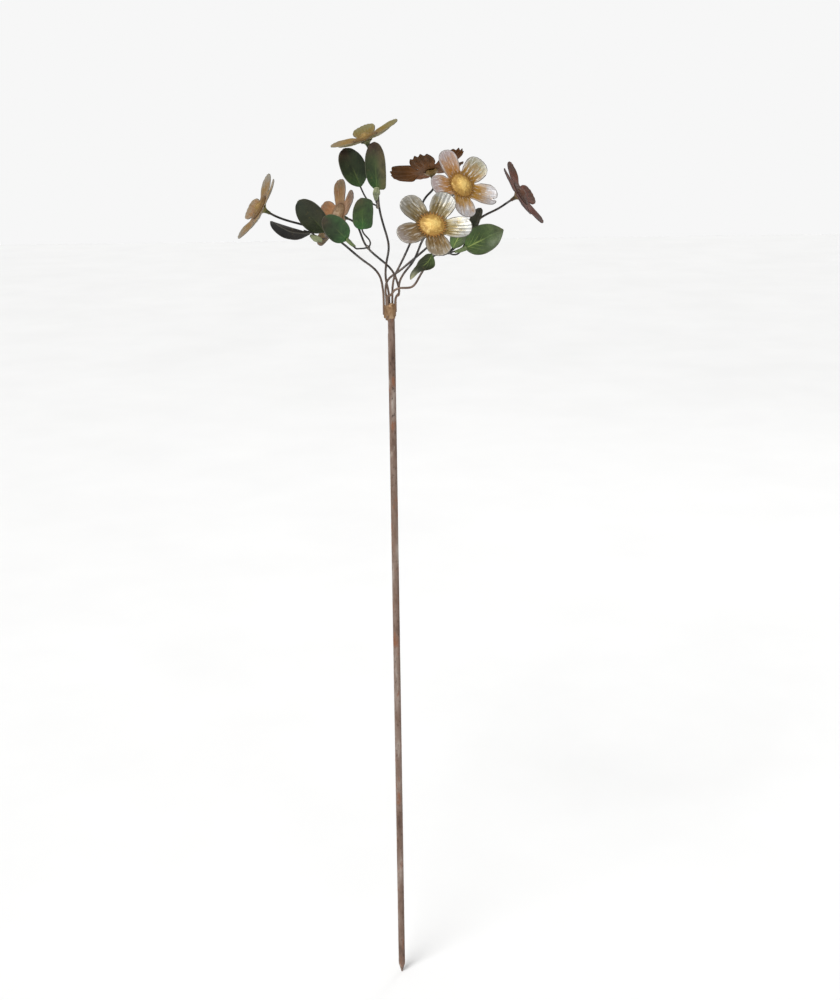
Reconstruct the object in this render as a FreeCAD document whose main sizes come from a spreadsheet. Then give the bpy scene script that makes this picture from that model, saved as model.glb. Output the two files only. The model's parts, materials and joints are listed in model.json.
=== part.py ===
import FreeCAD, Part
import math
import os
from FreeCAD import Placement, Rotation, Vector

# Garden flower stake: a ground rod, seven wires brazed to its top, a free-turning
# tin flower on each wire and leaves on side stalks. Millimetres, +Z up, the origin
# on the rod's axis at ground level, +Y away from the viewer.

doc = FreeCAD.newDocument("garden_flower_stake")
sheet = doc.addObject("Spreadsheet::Sheet", "sizes")

SIZES = [
    ("rod_radius", 4.0),
    ("rod_foot_depth", 138.0),
    ("rod_tip_length", 12.0),
    ("rod_tip_radius", 0.8),
    ("rod_shoulder_height", 660.0),
    ("rod_top_height", 690.0),
    ("rod_spigot_radius", 3.75),
    ("wire_radius", 1.2),
    ("pin_back", 14.0),
    ("pin_front", 3.9),
    ("head_radius", 2.2),
    ("head_thickness", 1.1),
    ("tail_top_height", 694.0),
    ("bush_radius", 2.6),
    ("bush_bore_radius", 1.27),
    ("bush_back", 2.2),
    ("bush_front", 3.6),
    ("washer_radius", 4.2),
    ("washer_thickness", 1.2),
    ("calyx_front", 3.0),
    ("calyx_back", 12.0),
    ("calyx_front_radius", 7.4),
    ("calyx_back_radius", 2.0),
    ("calyx_wall", 0.8),
    ("calyx_boss_radius", 2.1),
    ("calyx_boss_front", 2.5),
    ("petal_sheet", 0.8),
    ("petal_dish_radius", 130.0),
    ("petal_half_length", 14.5),
    ("petal_half_width", 12.5),
    ("petal_core_radius", 13.0),
    ("button_radius", 13.5),
    ("button_height", 5.4),
    ("button_base", 0.75),
    ("button_wall", 0.6),
    ("leaf_sheet", 0.8),
    ("stalk_radius", 0.9),
    ("stalk_underlap", 8.0),
    ("stalk_gap", 0.05),
    ("solder_radius", 3.0),
    ("braze_radius", 5.5),
    ("braze_bottom", 676.0),
    ("braze_dome_height", 4.0),
]

# Flower: number, hub x y z, azimuth (0 faces the viewer, + turns to the right),
# elevation, tip radius, the five petals' angles in the flower's own plane.
FLOWERS = [
    ("one", (-136, -10, 797), -74, 30, 40, (46, 118, 190, 262, 334)),
    ("two", (-24, 10, 866), -66, 68, 40, (12, 84, 156, 228, 300)),
    ("three", (-56, 46, 784), -62, 22, 40, (34, 106, 178, 250, 322)),
    ("four", (46, 52, 830), -148, 66, 45, (34, 106, 178, 250, 318)),
    ("five", (76, -6, 817), 32, 31, 41, (37, 109, 181, 253, 328)),
    ("six", (43, -70, 782), 8, 40, 41, (60, 132, 204, 276, 348)),
    ("seven", (142, 30, 805), 73, 32, 40, (64, 136, 208, 280, 352)),
]

# Wire: the same numbers, slot x y beside the rod and the height of the wire's lower end,
# points between flower and slot.
WIRES = [
    ("one", (-7.9, 0, 681), [(-81, 6, 774), (-53, 6, 759), (-30, 3, 740), (-11, 0, 721),
                             (-8.4, 0, 707)]),
    ("two", (-1.9, 4.7, 677), [(-12.2, 13, 813), (-11, 12, 795), (-5, 9, 770), (-1.5, 6.5, 752),
                               (-4.5, 3.5, 735), (-5, 4.3, 718)]),
    ("three", (4.6, 2.1, 684), [(-26, 22, 753), (-7, 12, 736), (2, 8, 727), (7.5, 4.8, 714),
                                (8.8, 3.4, 704)]),
    ("four", (1.5, 4.9, 680), [(41, 37, 804), (30, 26, 778), (23, 20, 758), (8, 13, 728)]),
    ("five", (-5, 0, 675), [(56, -4, 774), (37, -6, 751), (20, -6, 737), (7, -6, 727), (-4, -4.2, 717),
                            (-5.6, -1.8, 705)]),
    ("six", (5, -0.9, 684), [(36, -40, 767), (25, -22, 742), (16, -12, 729), (10.4, -5.5, 719),
                             (8.8, -2.4, 710), (8.3, -1, 702)]),
    ("seven", (-4.1, -2.9, 678), [(117, 26, 790), (100, 22, 782), (78, 14, 759), (63, 8, 747),
                                  (50, 3, 745), (39, 0, 734), (30, -3, 720), (23, -5, 711.5),
                                  (12, -6.5, 710.5), (4, -6.5, 708), (-1.6, -5, 702)]),
]

# Leaf: name, base, tip, which way the hollow side faces, width, radius of the hollow.
LEAVES = [
    ("leaf_upper_left", (-30, 10, 816), (-47, 16, 856), (0.2, -1, 0.2), 27, 30),
    ("leaf_upper_right", (-13, -2, 813), (-15, -5, 863), (0, -1, 0), 21, 16),
    ("leaf_middle", (-29, 0, 772), (-29, -24, 807), (0.3, -1, -0.4), 20, 18),
    ("leaf_left_high", (-69, 0, 770), (-96, -8, 804), (-0.2, -1, 0.3), 26, 26),
    ("leaf_left_inner", (-45, -6, 762), (-69, -24, 788), (0, -1, 0.2), 24, 20),
    ("leaf_left_low", (-84, -9, 769), (-126, -16, 783), (0, -0.5, -1), 19.6, 10),
    ("leaf_right_broad", (80, 0, 751), (121, -8, 771), (0.1, -1, 0.35), 30, 30),
    ("leaf_right_upright", (88, 12, 766), (98, 6, 793), (-0.8, -0.7, 0.2), 15, 12),
    ("leaf_right_inner", (67, 2, 751), (83, 9, 779), (0.2, -1, 0.3), 18, 20),
    ("leaf_right_curled", (45, -5, 746), (21, -20, 721), (0.5, -0.8, 0.4), 12, 8),
]

# Stalk: name, the leaf at its first end, the leaf at its last end (None for a bare end),
# points between them.
STALKS = [
    ("stalk_upper", "leaf_upper_left", None, [(-19, 8, 799), (-13.8, 10.6, 796.2)]),
    ("stalk_upright", "leaf_upper_right", None, [(-14, 4, 807), (-14, 10.2, 799.8)]),
    ("stalk_middle", "leaf_middle", "leaf_left_inner",
     [(-22, 8, 760), (-23.6, 15.8, 752), (-33, 11, 751)]),
    ("stalk_left", "leaf_left_low", "leaf_left_high",
     [(-79, -2, 764.5), (-73, 2, 762.5), (-67, 3, 764.6)]),
    ("stalk_right", "leaf_right_broad", None, [(67, -0.5, 747.5), (57, 3, 744)]),
    ("stalk_right_pair", "leaf_right_inner", "leaf_right_upright",
     [(64.5, 5.5, 745.5), (69, 9, 743.5), (77, 12, 748), (84, 14, 758)]),
    ("stalk_right_curled", "leaf_right_curled", None, [(50.5, 0.4, 746.6)]),
]

# Solder: name, centres of the lumps, the wire and the stalks they join.
SOLDER = [
    ("upper", [(-12.4, 11.3, 796.2), (-12.5, 11.2, 799.8)], "two", ["stalk_upper", "stalk_upright"]),
    ("middle", [(-24, 17.4, 751.6)], "three", ["stalk_middle"]),
    ("left", [(-67, 4.6, 765.7)], "one", ["stalk_left"]),
    ("right", [(57.5, 4.6, 745)], "seven", ["stalk_right"]),
    ("pair", [(63.8, 6.8, 746.3)], "seven", ["stalk_right_pair"]),
    ("curled", [(50.6, 1.8, 745.8)], "seven", ["stalk_right_curled"]),
]

for row, (name, value) in enumerate(SIZES, start=1):
    sheet.set(f"A{row}", name)
    sheet.set(f"B{row}", str(value))
    sheet.setAlias(f"B{row}", name)
doc.recompute()


def size(name):
    """Current value of one size in the sheet."""
    return float(sheet.get(name))


def add(kind, name, place=None, **sizes):
    """One Part object, each given property bound to an expression over the sheet."""
    obj = doc.addObject(kind, name)
    for prop, formula in sizes.items():
        obj.setExpression(prop, formula)
    if place is not None:
        obj.Placement = place
    return obj


def at(x=0.0, y=0.0, z=0.0, rotation=None):
    return Placement(Vector(x, y, z), rotation or Rotation())


def fuse(name, shapes):
    obj = doc.addObject("Part::MultiFuse", name)
    obj.Shapes = shapes
    return obj


def cut(name, base, tool):
    obj = doc.addObject("Part::Cut", name)
    obj.Base = base
    obj.Tool = tool
    return obj


def common(name, first, second):
    obj = doc.addObject("Part::Common", name)
    obj.Base = first
    obj.Tool = second
    return obj


def curve_line(name, points, start_dir=None, end_dir=None):
    """A smooth centre line through the points, kept as a plain edge."""
    curve = Part.BSplineCurve()
    ends = {}
    if start_dir is not None:
        ends["InitialTangent"] = start_dir
        ends["FinalTangent"] = end_dir
    curve.interpolate(Points=points, **ends)
    line = doc.addObject("Part::Feature", name + "_line")
    line.Shape = Part.Wire([curve.toShape()])
    return line, curve


def swept(name, line, curve, radius_formula):
    """A round wire swept along a centre line."""
    start = curve.value(curve.FirstParameter)
    heading = curve.tangent(curve.FirstParameter)[0]
    ring = add("Part::Circle", name + "_ring", Placement(start, Rotation(Vector(0, 0, 1), heading)),
               Radius=radius_formula)
    sweep = doc.addObject("Part::Sweep", name + "_run")
    sweep.Sections = [ring]
    sweep.Spine = (line, ["Edge1"])
    sweep.Solid = True
    sweep.Frenet = False
    return sweep


def finish(obj, label, parts):
    obj.Label = label
    parts.append(obj)


def flower_frame(azimuth, elevation):
    """Right, up and outward directions of a flower seen from its front."""
    a = math.radians(azimuth)
    e = math.radians(elevation)
    out = Vector(math.sin(a) * math.cos(e), -math.cos(a) * math.cos(e), math.sin(e))
    right = Vector(math.cos(a), math.sin(a), 0)
    return right, out.cross(right), out


def flower_place(hub, azimuth, elevation):
    right, up, out = flower_frame(azimuth, elevation)
    return Placement(Vector(*hub), Rotation(right, up, out, "ZXY"))


def seat(obj, place):
    """Wrap a finished local shape so that it carries the flower's or leaf's placement."""
    obj.Placement = place.multiply(obj.Placement)


parts = []

# --- ground rod -------------------------------------------------------------------
shaft = add("Part::Cylinder", "rod_shaft", Radius="sizes.rod_radius",
            Height="sizes.rod_foot_depth + sizes.rod_shoulder_height")
shaft.setExpression("Placement.Base.z", "-sizes.rod_foot_depth")
point = add("Part::Cone", "rod_point", Radius1="sizes.rod_tip_radius", Radius2="sizes.rod_radius",
            Height="sizes.rod_tip_length")
point.setExpression("Placement.Base.z", "-sizes.rod_foot_depth - sizes.rod_tip_length")
spigot = add("Part::Cylinder", "rod_spigot", Radius="sizes.rod_spigot_radius",
             Height="sizes.rod_top_height - sizes.rod_shoulder_height")
spigot.setExpression("Placement.Base.z", "sizes.rod_shoulder_height")
rod = fuse("rod_solid", [shaft, point, spigot])
finish(rod, "stake_rod", parts)

# --- flower wires: pin, hand-bent run, tail along the rod's top ----------------------
hubs = {flower[0]: flower for flower in FLOWERS}
wire_runs = {}
wire_tails = []
for number, slot, between in WIRES:
    name = "wire_" + number
    _, hub, azimuth, elevation, _, _ = hubs[number]
    place = flower_place(hub, azimuth, elevation)
    out = flower_frame(azimuth, elevation)[2]
    pin = add("Part::Cylinder", name + "_pin", Radius="sizes.wire_radius",
              Height="sizes.pin_back + sizes.pin_front")
    pin.Placement = place.multiply(at(z=-size("pin_back")))
    head = add("Part::Cylinder", name + "_head", Radius="sizes.head_radius",
               Height="sizes.head_thickness")
    head.Placement = place.multiply(at(z=size("pin_front")))
    tail = add("Part::Cylinder", name + "_tail", Radius="sizes.wire_radius",
               Height=f"sizes.tail_top_height - {slot[2]}")
    tail_top = Vector(slot[0], slot[1], size("tail_top_height"))
    tail.Placement = at(*slot)
    start = Vector(*hub) - out * size("pin_back")
    points = [start] + [Vector(*p) for p in between] + [tail_top]
    line, curve = curve_line(name, points, -out, Vector(0, 0, -1))
    run = swept(name, line, curve, "sizes.wire_radius")
    wire = fuse(name + "_solid", [run, pin, head, tail])
    wire_runs[number] = run
    wire_tails.append(tail)
    finish(wire, name, parts)

# --- flower heads, each in its own frame: +Z is the spin axis ------------------------
for number, hub, azimuth, elevation, tip_radius, angles in FLOWERS:
    place = flower_place(hub, azimuth, elevation)

    outer = add("Part::Sphere", "rosette_outer_" + number,
                Radius="sizes.petal_dish_radius + sizes.petal_sheet")
    outer.setExpression("Placement.Base.z", "sizes.petal_dish_radius")
    inner = add("Part::Sphere", "rosette_inner_" + number, Radius="sizes.petal_dish_radius")
    inner.setExpression("Placement.Base.z", "sizes.petal_dish_radius")
    dish = cut("rosette_dish_" + number, outer, inner)
    core = add("Part::Cylinder", "rosette_core_" + number, at(z=-3), Radius="sizes.petal_core_radius",
               Height="15")
    half_length = f"sizes.petal_half_length + {(tip_radius - 40) / 2}"
    outline = [core]
    for k, angle in enumerate(angles):
        turn = Rotation(Vector(0, 0, 1), angle)
        reach = tip_radius - size("petal_half_length") - (tip_radius - 40) / 2
        middle = turn.multVec(Vector(reach, 0, -3))
        oval = add("Part::Ellipse", f"petal_oval_{number}_{k}", Placement(middle, turn),
                   MajorRadius=half_length, MinorRadius="sizes.petal_half_width")
        prism = doc.addObject("Part::Extrusion", f"petal_prism_{number}_{k}")
        prism.Base = oval
        prism.DirMode = "Custom"
        prism.Dir = Vector(0, 0, 1)
        prism.LengthFwd = 15
        prism.Solid = True
        outline.append(prism)
    star = fuse("rosette_star_" + number, outline)
    sheet_star = common("rosette_sheet_" + number, dish, star)
    hole = add("Part::Cylinder", "rosette_hole_" + number, at(z=-4), Radius="sizes.bush_radius",
               Height="8")
    rosette = cut("rosette_solid_" + number, sheet_star, hole)
    seat(rosette, place)
    finish(rosette, "rosette_" + number, parts)

    tube = add("Part::Cylinder", "bush_tube_" + number, Radius="sizes.bush_radius",
               Height="sizes.bush_back + sizes.bush_front")
    tube.setExpression("Placement.Base.z", "-sizes.bush_back")
    washer = add("Part::Cylinder", "bush_washer_" + number, Radius="sizes.washer_radius",
                 Height="sizes.washer_thickness")
    washer.setExpression("Placement.Base.z", "-sizes.petal_sheet - sizes.washer_thickness")
    bore = add("Part::Cylinder", "bush_bore_" + number, at(z=-6), Radius="sizes.bush_bore_radius",
               Height="14")
    bush = cut("bush_solid_" + number, fuse("bush_blank_" + number, [tube, washer]), bore)
    seat(bush, place)
    finish(bush, "hub_bush_" + number, parts)

    calyx_length = "sizes.calyx_back - sizes.calyx_front"
    cup_out = add("Part::Cone", "calyx_out_" + number, Radius1="sizes.calyx_back_radius",
                  Radius2="sizes.calyx_front_radius", Height=calyx_length)
    cup_out.setExpression("Placement.Base.z", "-sizes.calyx_back")
    cup_in = add("Part::Cone", "calyx_in_" + number, Radius1="sizes.calyx_back_radius",
                 Radius2="sizes.calyx_front_radius", Height=calyx_length)
    cup_in.setExpression("Placement.Base.z", "-sizes.calyx_back + 2 * sizes.calyx_wall")
    shell = cut("calyx_shell_" + number, cup_out, cup_in)
    boss = add("Part::Cylinder", "calyx_boss_" + number, Radius="sizes.calyx_boss_radius",
               Height="sizes.calyx_back - sizes.calyx_boss_front - 0.5")
    boss.setExpression("Placement.Base.z", "-sizes.calyx_back + 0.5")
    pin_hole = add("Part::Cylinder", "calyx_hole_" + number, at(z=-14), Radius="sizes.wire_radius",
                   Height="14")
    calyx = cut("calyx_solid_" + number, fuse("calyx_blank_" + number, [shell, boss]), pin_hole)
    seat(calyx, place)
    finish(calyx, "calyx_" + number, parts)

    # The dome's radius follows from its rim radius and height.
    dome = "((sizes.button_radius ^ 2 + sizes.button_height ^ 2) / (2 * sizes.button_height))"
    ball = add("Part::Sphere", "button_ball_" + number, Radius=dome)
    ball.setExpression("Placement.Base.z", "sizes.button_base + sizes.button_height - " + dome)
    hollow = add("Part::Sphere", "button_hollow_" + number, Radius=dome + " - sizes.button_wall")
    hollow.setExpression("Placement.Base.z", "sizes.button_base + sizes.button_height - " + dome)
    rim = add("Part::Cylinder", "button_rim_" + number, Radius="sizes.button_radius + 1", Height="12")
    rim.setExpression("Placement.Base.z", "sizes.button_base")
    skin = cut("button_skin_" + number, ball, hollow)
    button = common("button_solid_" + number, skin, rim)
    seat(button, place)
    finish(button, "button_" + number, parts)

# --- leaf blades: an oval cut from a hollow round sheet ------------------------------
leaf_backs = {}
for name, base, tip, face, width, hollow_radius in LEAVES:
    along = Vector(*tip) - Vector(*base)
    length = along.Length
    along.normalize()
    normal = Vector(*face)
    normal = normal - along * normal.dot(along)
    normal.normalize()
    side = normal.cross(along)
    place = Placement(Vector(*base), Rotation(along, side, normal, "ZXY"))

    lengthwise = Rotation(Vector(0, 0, 1), Vector(1, 0, 0))
    outer = add("Part::Cylinder", name + "_outer", at(-2, 0, hollow_radius, lengthwise),
                Radius=f"{hollow_radius} + sizes.leaf_sheet", Height=f"{length + 4:.3f}")
    inner = add("Part::Cylinder", name + "_inner", at(-3, 0, hollow_radius, lengthwise),
                Radius=f"{hollow_radius}", Height=f"{length + 6:.3f}")
    sheet_round = cut(name + "_sheet", outer, inner)
    oval = add("Part::Ellipse", name + "_oval", at(length / 2, 0, -2),
               MajorRadius=f"{length / 2:.3f}", MinorRadius=f"{width / 2}")
    prism = doc.addObject("Part::Extrusion", name + "_prism")
    prism.Base = oval
    prism.DirMode = "Custom"
    prism.Dir = Vector(0, 0, 1)
    prism.LengthFwd = 2 + hollow_radius * 0.95
    prism.Solid = True
    blade = common(name + "_solid", sheet_round, prism)
    seat(blade, place)
    finish(blade, name, parts)

    drop = size("leaf_sheet") + size("stalk_radius") + size("stalk_gap")
    rear = Vector(*base) - normal * drop
    leaf_backs[name] = (rear, rear + along * size("stalk_underlap"), along)

# --- leaf stalks and their solder lumps ----------------------------------------------
stalk_runs = {}
for name, first, last, between in STALKS:
    rear, under, along = leaf_backs[first]
    pieces = []
    root = add("Part::Cylinder", name + "_root", Placement(rear, Rotation(Vector(0, 0, 1), along)),
               Radius="sizes.stalk_radius", Height="sizes.stalk_underlap")
    pieces.append(root)
    points = [rear] + [Vector(*p) for p in between]
    if last is None:
        end_dir = points[-1] - points[-2]
        end_dir.normalize()
    else:
        far_rear, _, end_dir = leaf_backs[last]
        points.append(far_rear)
        far_root = add("Part::Cylinder", name + "_far_root",
                       Placement(far_rear, Rotation(Vector(0, 0, 1), end_dir)),
                       Radius="sizes.stalk_radius", Height="sizes.stalk_underlap")
        pieces.append(far_root)
    line, curve = curve_line(name, points, -along, end_dir)
    stalk_runs[name] = swept(name, line, curve, "sizes.stalk_radius")
    pieces.append(stalk_runs[name])
    finish(fuse(name + "_solid", pieces), name, parts)

lumps = []
for name, centres, wire_number, joined in SOLDER:
    balls = []
    for k, centre in enumerate(centres):
        ball = add("Part::Sphere", f"solder_ball_{name}_{k}", at(*centre), Radius="sizes.solder_radius")
        balls.append(ball)
    lump = balls[0] if len(balls) == 1 else fuse("solder_balls_" + name, balls)
    lump = cut("solder_on_wire_" + name, lump, wire_runs[wire_number])
    for k, stalk in enumerate(joined):
        lump = cut(f"solder_on_stalk_{name}_{k}", lump, stalk_runs[stalk])
    lumps.append(lump)
finish(fuse("solder_solid", lumps), "solder_joints", parts)

# --- braze round the rod's top --------------------------------------------------------
collar = add("Part::Cylinder", "braze_collar", Radius="sizes.braze_radius",
             Height="sizes.rod_top_height - sizes.braze_bottom")
collar.setExpression("Placement.Base.z", "sizes.braze_bottom")
outrigger = add("Part::Cylinder", "braze_outrigger", Radius="sizes.wire_radius * 1.5",
                Height="sizes.rod_top_height - sizes.braze_bottom + 1")
outrigger.Placement = at(-6.3, 0, size("braze_bottom") - 3)
dome_top = add("Part::Ellipsoid", "braze_dome", at(z=size("rod_top_height")),
               Radius1="sizes.braze_dome_height", Radius2="sizes.braze_radius",
               Radius3="sizes.braze_radius")
lump = fuse("braze_lump", [collar, outrigger, dome_top])
braze = cut("braze_solid", cut("braze_no_rod", lump, rod), fuse("all_tails", wire_tails))
finish(braze, "braze_joint", parts)

doc.recompute()
os.makedirs("parts", exist_ok=True)
for obj in doc.Objects:
    if "Invalid" in obj.State or "Error" in obj.State:
        raise RuntimeError(f"{obj.Name}: {obj.State}")
for obj in parts:
    if obj.Shape.isNull() or not obj.Shape.isValid():
        raise RuntimeError(f"{obj.Label}: bad shape")
    obj.Shape.exportStep(f"parts/{obj.Label}.step")
    print(obj.Label, len(obj.Shape.Solids), round(obj.Shape.Volume, 1))
print(len(parts), "parts")
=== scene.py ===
import json
import math
from collections import namedtuple

import bpy
from mathutils import Matrix, Vector, noise

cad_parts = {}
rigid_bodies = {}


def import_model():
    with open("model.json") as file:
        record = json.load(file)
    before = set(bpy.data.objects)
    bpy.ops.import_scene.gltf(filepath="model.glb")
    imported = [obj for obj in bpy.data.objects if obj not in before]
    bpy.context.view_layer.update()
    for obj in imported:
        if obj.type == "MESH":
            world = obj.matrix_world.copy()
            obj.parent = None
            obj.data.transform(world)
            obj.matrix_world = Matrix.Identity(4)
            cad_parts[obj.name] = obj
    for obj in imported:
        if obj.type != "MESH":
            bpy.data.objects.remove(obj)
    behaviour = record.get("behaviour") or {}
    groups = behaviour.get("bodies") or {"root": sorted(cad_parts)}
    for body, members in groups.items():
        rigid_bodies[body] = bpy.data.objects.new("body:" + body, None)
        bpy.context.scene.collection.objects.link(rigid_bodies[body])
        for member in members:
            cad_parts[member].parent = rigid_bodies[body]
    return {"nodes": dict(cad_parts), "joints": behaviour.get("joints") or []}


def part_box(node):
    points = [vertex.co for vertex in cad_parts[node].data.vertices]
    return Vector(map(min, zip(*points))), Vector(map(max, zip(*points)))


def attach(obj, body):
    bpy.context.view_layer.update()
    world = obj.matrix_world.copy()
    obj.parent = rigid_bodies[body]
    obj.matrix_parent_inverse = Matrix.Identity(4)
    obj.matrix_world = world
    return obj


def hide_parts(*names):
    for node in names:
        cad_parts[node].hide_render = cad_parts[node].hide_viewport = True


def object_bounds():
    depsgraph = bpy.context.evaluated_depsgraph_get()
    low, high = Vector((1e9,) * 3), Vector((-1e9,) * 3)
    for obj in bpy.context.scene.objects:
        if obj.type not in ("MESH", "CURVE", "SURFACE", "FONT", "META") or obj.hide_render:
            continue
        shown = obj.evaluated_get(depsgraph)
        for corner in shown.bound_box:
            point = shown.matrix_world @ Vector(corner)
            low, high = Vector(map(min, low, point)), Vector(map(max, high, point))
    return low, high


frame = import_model()
cad_low, cad_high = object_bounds()

MM = 0.001
# Thickness of each sheet, in millimetres.
PETAL_SHEET, DISC_SHEET, CUP_SHEET, LEAF_SHEET, FOOT_SHEET = 0.65, 0.3, 0.55, 0.6, 0.5


# ---------------------------------------------------------------- small helpers
def srgb(r, g, b):
    """A display colour, 0 to 255, as the linear colour a shader wants."""
    out = []
    for c in (r, g, b):
        c = c / 255
        out.append(c / 12.92 if c <= 0.04045 else ((c + 0.055) / 1.055) ** 2.4)
    return (out[0], out[1], out[2], 1.0)


def blend(a, b, share):
    return tuple(p + (q - p) * share for p, q in zip(a, b))


def smooth(low, high, x):
    u = min(1.0, max(0.0, (x - low) / (high - low)))
    return u * u * (3 - 2 * u)


def through(points, x):
    """A soft curve through (x, y) points, level at both ends."""
    if x <= points[0][0]:
        return points[0][1]
    for k in range(len(points) - 1):
        (x0, y0), (x1, y1) = points[k], points[k + 1]
        if x <= x1:
            before = points[max(0, k - 1)]
            after = points[min(len(points) - 1, k + 2)]
            m0 = (y1 - before[1]) / (x1 - before[0]) * (x1 - x0)
            m1 = (after[1] - y0) / (after[0] - x0) * (x1 - x0)
            u = (x - x0) / (x1 - x0)
            return ((2 * u ** 3 - 3 * u ** 2 + 1) * y0 + (u ** 3 - 2 * u ** 2 + u) * m0
                    + (3 * u ** 2 - 2 * u ** 3) * y1 + (u ** 3 - u ** 2) * m1)
    return points[-1][1]


def rough(x, y, z, seed=0.0):
    """Soft noise from -1 to 1; one unit of the arguments is about one bump."""
    return noise.noise(Vector((x + 17.3 * seed, y - 9.1 * seed, z + 5.7 * seed)))


def mesh_piece(name, points, faces):
    """A smooth-shaded mesh from points in millimetres."""
    mesh = bpy.data.meshes.new(name)
    mesh.from_pydata([(x * MM, y * MM, z * MM) for x, y, z in points], [], faces)
    mesh.polygons.foreach_set("use_smooth", [True] * len(mesh.polygons))
    mesh.update()
    obj = bpy.data.objects.new(name, mesh)
    bpy.context.scene.collection.objects.link(obj)
    return obj


def floats(obj, name, values):
    obj.data.attributes.new(name, "FLOAT", "POINT").data.foreach_set("value", values)


def colours(obj, name, values):
    layer = obj.data.attributes.new(name, "FLOAT_COLOR", "POINT")
    layer.data.foreach_set("color", [c for value in values for c in value])


def thicken(obj, thickness):
    """Give a surface its thickness, behind its front."""
    shell = obj.modifiers.new("sheet", "SOLIDIFY")
    shell.thickness = thickness * MM
    shell.offset = -1


def axes(origin, right, up, out):
    """Matrix that puts a piece built along x, y, z onto three directions at a point."""
    m = Matrix.Identity(4)
    for k, v in enumerate((right, up, out, origin)):
        m[0][k], m[1][k], m[2][k] = v
    return m


# ---------------------------------------------------------------- node helpers
class Nodes:
    """One procedural material, with short calls for its nodes."""

    def __init__(self, name):
        self.material = bpy.data.materials.new(name)
        self.material.use_nodes = True
        self.tree = self.material.node_tree
        self.shader = self.tree.nodes["Principled BSDF"]
        self.place = self.add("ShaderNodeTexCoord").outputs["Object"]

    def add(self, kind, **settings):
        node = self.tree.nodes.new(kind)
        for key, value in settings.items():
            setattr(node, key, value)
        return node

    def link(self, a, b):
        self.tree.links.new(a, b)

    def put(self, socket, value):
        if hasattr(value, "is_output"):
            self.link(value, socket)
        else:
            socket.default_value = value

    def attribute(self, name, output="Fac"):
        return self.add("ShaderNodeAttribute", attribute_name=name).outputs[output]

    def noise(self, scale, detail=4.0, where=None, roughness=0.55, distortion=0.0):
        node = self.add("ShaderNodeTexNoise")
        self.link(self.place if where is None else where, node.inputs["Vector"])
        node.inputs["Scale"].default_value = scale
        node.inputs["Detail"].default_value = detail
        node.inputs["Roughness"].default_value = roughness
        node.inputs["Distortion"].default_value = distortion
        return node.outputs["Fac"]

    def stretch(self, x, y, z):
        node = self.add("ShaderNodeMapping")
        self.link(self.place, node.inputs["Vector"])
        node.inputs["Scale"].default_value = (x, y, z)
        return node.outputs["Vector"]

    def vector(self, x, y, z):
        node = self.add("ShaderNodeCombineXYZ")
        for k, value in enumerate((x, y, z)):
            self.put(node.inputs[k], value)
        return node.outputs["Vector"]

    def span(self, value, low, high, start=0.0, end=1.0):
        node = self.add("ShaderNodeMapRange", interpolation_type="SMOOTHSTEP")
        self.link(value, node.inputs["Value"])
        for key, number in (("From Min", low), ("From Max", high), ("To Min", start), ("To Max", end)):
            node.inputs[key].default_value = number
        return node.outputs["Result"]

    def sum(self, a, b, how="ADD"):
        node = self.add("ShaderNodeMath", operation=how)
        self.put(node.inputs[0], a)
        self.put(node.inputs[1], b)
        return node.outputs["Value"]

    def ramp(self, value, stops):
        node = self.add("ShaderNodeValToRGB")
        self.link(value, node.inputs["Fac"])
        band = node.color_ramp
        band.elements[0].position, band.elements[0].color = stops[0]
        band.elements[1].position, band.elements[1].color = stops[-1]
        for position, colour in stops[1:-1]:
            band.elements.new(position).color = colour
        return node.outputs["Color"]

    def mix(self, factor, a, b, how="MIX"):
        node = self.add("ShaderNodeMix", data_type="RGBA", blend_type=how)
        self.put(node.inputs["Factor"], factor)
        self.put([s for s in node.inputs if s.identifier == "A_Color"][0], a)
        self.put([s for s in node.inputs if s.identifier == "B_Color"][0], b)
        return [s for s in node.outputs if s.identifier == "Result_Color"][0]

    def bump(self, height, distance, strength=1.0, under=None):
        node = self.add("ShaderNodeBump")
        node.inputs["Strength"].default_value = strength
        node.inputs["Distance"].default_value = distance
        self.link(height, node.inputs["Height"])
        if under is not None:
            self.link(under, node.inputs["Normal"])
        return node.outputs["Normal"]

    def end(self, colour, roughness, normal, metallic=0.0):
        self.put(self.shader.inputs["Base Color"], colour)
        self.put(self.shader.inputs["Roughness"], roughness)
        self.link(normal, self.shader.inputs["Normal"])
        self.put(self.shader.inputs["Metallic"], metallic)
        return self.material


def dress(obj, material):
    obj.data.materials.clear()
    obj.data.materials.append(material)


# ---------------------------------------------------------------- materials
def rusted_rod():
    n = Nodes("rusted_rod")
    along = n.stretch(1, 1, 0.22)
    patches = n.noise(95, 6, along)
    scale = n.noise(420, 5, n.stretch(1, 1, 0.6))
    colour = n.ramp(patches, [(0.30, srgb(78, 57, 46)), (0.44, srgb(112, 90, 77)),
                              (0.56, srgb(132, 114, 103)), (0.70, srgb(168, 157, 148))])
    orange = n.span(n.noise(150, 5, n.stretch(1, 1, 0.35)), 0.54, 0.68)
    colour = n.mix(n.sum(orange, 0.75, "MULTIPLY"), colour, srgb(128, 76, 44))
    colour = n.mix(n.span(scale, 0.58, 0.72, 0, 0.8), colour, srgb(58, 43, 37))
    pale = n.span(n.noise(60, 6, n.stretch(1, 1, 0.5)), 0.60, 0.70)
    colour = n.mix(n.sum(pale, 0.6, "MULTIPLY"), colour, srgb(176, 164, 152))
    normal = n.bump(patches, 0.0007, 0.5, n.bump(scale, 0.0003, 0.7))
    return n.end(colour, n.span(scale, 0.3, 0.7, 0.62, 0.92), normal, n.span(patches, 0.35, 0.7, 0.05, 0.4))


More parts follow.
